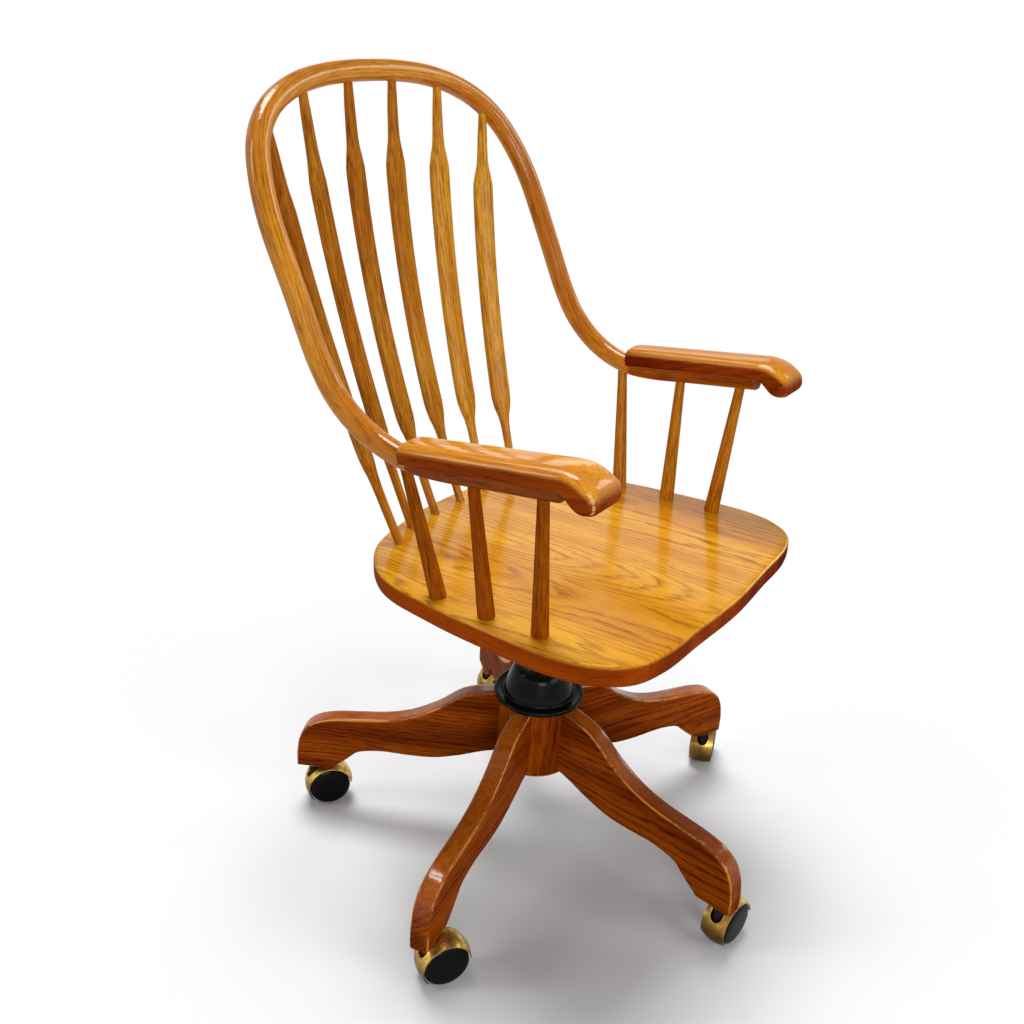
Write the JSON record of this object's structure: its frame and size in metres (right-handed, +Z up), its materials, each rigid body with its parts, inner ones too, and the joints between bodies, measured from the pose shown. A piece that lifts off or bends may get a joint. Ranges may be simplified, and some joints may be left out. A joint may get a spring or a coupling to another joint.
{
  "type": "bankers swivel chair",
  "caption": "solid oak bankers armchair with a bent bow that is both top rail and arms, arrow spindles, screw lift, tilt and a star base on hooded twin-wheel casters",
  "frame": {"origin": "on the floor, under the middle of the part's bounding box, 5 mm beside and 8 mm ahead of the swivel axis", "axes": "+Z up, the chair faces -Y, +X is the sitter's left"},
  "size_m": [0.681, 0.668, 1.0161],
  "materials": {
    "oak": "glossy orange-brown varnish over open-grained oak",
    "seat_oak": "satin golden varnish over open-grained oak",
    "base_oak": "satin red-brown varnish, worn pale at the edges",
    "brass": "polished, slightly tarnished",
    "black_plastic": "gloss black",
    "wheel_plastic": "gloss black faces, scuffed treads",
    "steel": "plain machined steel, lightly greased",
    "black_iron": "black enamel over cast and pressed iron"
  },
  "bodies": {
    "base": {"base_hub": "base_oak", "leg_1": "base_oak", "leg_2": "base_oak", "leg_3": "base_oak", "leg_4": "base_oak", "leg_5": "base_oak", "leg_socket_1": "brass", "leg_socket_2": "brass", "leg_socket_3": "brass", "leg_socket_4": "brass", "leg_socket_5": "brass", "column_tube": "steel", "hub_cover": "black_plastic"},
    "nut": {"height_nut": "steel"},
    "lift": {"lift_spindle": "steel", "tilt_yoke": "black_iron", "tilt_axle": "steel", "tilt_spring": "steel"},
    "tension": {"tension_knob": "black_plastic"},
    "seat_frame": {"seat_plate": "black_iron", "seat_screw_1": "steel", "seat_screw_2": "steel", "seat_screw_3": "steel", "seat_screw_4": "steel", "seat": "seat_oak", "back_bow": "oak", "back_spindle_1": "oak", "back_spindle_2": "oak", "back_spindle_3": "oak", "back_spindle_4": "oak", "back_spindle_5": "oak", "back_spindle_6": "oak", "arm_post_left_1": "oak", "arm_post_left_2": "oak", "arm_post_left_3": "oak", "arm_post_right_1": "oak", "arm_post_right_2": "oak", "arm_post_right_3": "oak", "arm_cap_left": "oak", "arm_cap_right": "oak"},
    "caster_1": {"caster_hood_1": "brass", "caster_axle_1": "steel"},
    "wheel_a_1": {"caster_wheel_a_1": "wheel_plastic"},
    "wheel_b_1": {"caster_wheel_b_1": "wheel_plastic"},
    "caster_2": {"caster_hood_2": "brass", "caster_axle_2": "steel"},
    "wheel_a_2": {"caster_wheel_a_2": "wheel_plastic"},
    "wheel_b_2": {"caster_wheel_b_2": "wheel_plastic"},
    "caster_3": {"caster_hood_3": "brass", "caster_axle_3": "steel"},
    "wheel_a_3": {"caster_wheel_a_3": "wheel_plastic"},
    "wheel_b_3": {"caster_wheel_b_3": "wheel_plastic"},
    "caster_4": {"caster_hood_4": "brass", "caster_axle_4": "steel"},
    "wheel_a_4": {"caster_wheel_a_4": "wheel_plastic"},
    "wheel_b_4": {"caster_wheel_b_4": "wheel_plastic"},
    "caster_5": {"caster_hood_5": "brass", "caster_axle_5": "steel"},
    "wheel_a_5": {"caster_wheel_a_5": "wheel_plastic"},
    "wheel_b_5": {"caster_wheel_b_5": "wheel_plastic"}
  },
  "joints": [
    {"name": "seat_swivel", "type": "hinge", "parent": "base", "child": "nut", "pos_m": [-0.00463, 0.008, 0.252], "axis": [0, 0, 1], "continuous": true},
    {"name": "height_slide", "type": "slide", "parent": "nut", "child": "lift", "axis": [0, 0, 1], "range_m": [-0.04, 0.05]},
    {"name": "tension_turn", "type": "hinge", "parent": "lift", "child": "tension", "pos_m": [-0.00463, -0.072, 0.37], "axis": [0, 0, 1], "range_deg": [-720, 720]},
    {"name": "seat_tilt", "type": "hinge", "parent": "lift", "child": "seat_frame", "pos_m": [-0.00463, -0.01, 0.407], "axis": [-1, 0, 0], "range_deg": [0, 12], "stiffness_Nm_per_rad": 300, "springref_deg": -8.59},
    {"name": "caster_swivel_1", "type": "hinge", "parent": "base", "child": "caster_1", "pos_m": [-0.15855, 0.28798, 0.08], "axis": [0, 0, 1], "continuous": true},
    {"name": "wheel_roll_a_1", "type": "hinge", "parent": "caster_1", "child": "wheel_a_1", "pos_m": [-0.14081, 0.27431, 0.029], "axis": [0.6104, 0.7921, 0], "continuous": true},
    {"name": "wheel_roll_b_1", "type": "hinge", "parent": "caster_1", "child": "wheel_b_1", "pos_m": [-0.14081, 0.27431, 0.029], "axis": [0.6104, 0.7921, 0], "continuous": true},
    {"name": "caster_swivel_2", "type": "hinge", "parent": "base", "child": "caster_2", "pos_m": [-0.31848, -0.05187, 0.08], "axis": [0, 0, 1], "continuous": true},
    {"name": "wheel_roll_a_2", "type": "hinge", "parent": "caster_2", "child": "wheel_a_2", "pos_m": [-0.2993, -0.06345, 0.029], "axis": [0.5171, 0.8559, 0], "continuous": true},
    {"name": "wheel_roll_b_2", "type": "hinge", "parent": "caster_2", "child": "wheel_b_2", "pos_m": [-0.2993, -0.06345, 0.029], "axis": [0.5171, 0.8559, 0], "continuous": true},
    {"name": "caster_swivel_3", "type": "hinge", "parent": "base", "child": "caster_3", "pos_m": [-0.04468, -0.30898, 0.08], "axis": [0, 0, 1], "continuous": true},
    {"name": "wheel_roll_a_3", "type": "hinge", "parent": "caster_3", "child": "wheel_a_3", "pos_m": [-0.02254, -0.31242, 0.029], "axis": [0.1533, 0.9882, 0], "continuous": true},
    {"name": "wheel_roll_b_3", "type": "hinge", "parent": "caster_3", "child": "wheel_b_3", "pos_m": [-0.02254, -0.31242, 0.029], "axis": [0.1533, 0.9882, 0], "continuous": true},
    {"name": "caster_swivel_4", "type": "hinge", "parent": "base", "child": "caster_4", "pos_m": [0.28446, -0.12804, 0.08], "axis": [0, 0, 1], "continuous": true},
    {"name": "wheel_roll_a_4", "type": "hinge", "parent": "caster_4", "child": "wheel_a_4", "pos_m": [0.30565, -0.12078, 0.029], "axis": [-0.3239, 0.9461, 0], "continuous": true},
    {"name": "wheel_roll_b_4", "type": "hinge", "parent": "caster_4", "child": "wheel_b_4", "pos_m": [0.30565, -0.12078, 0.029], "axis": [-0.3239, 0.9461, 0], "continuous": true},
    {"name": "caster_swivel_5", "type": "hinge", "parent": "base", "child": "caster_5", "pos_m": [0.21408, 0.24091, 0.08], "axis": [0, 0, 1], "continuous": true},
    {"name": "wheel_roll_a_5", "type": "hinge", "parent": "caster_5", "child": "wheel_a_5", "pos_m": [0.23599, 0.23622, 0.029], "axis": [0.2089, 0.9779, 0], "continuous": true},
    {"name": "wheel_roll_b_5", "type": "hinge", "parent": "caster_5", "child": "wheel_b_5", "pos_m": [0.23599, 0.23622, 0.029], "axis": [0.2089, 0.9779, 0], "continuous": true}
  ]
}
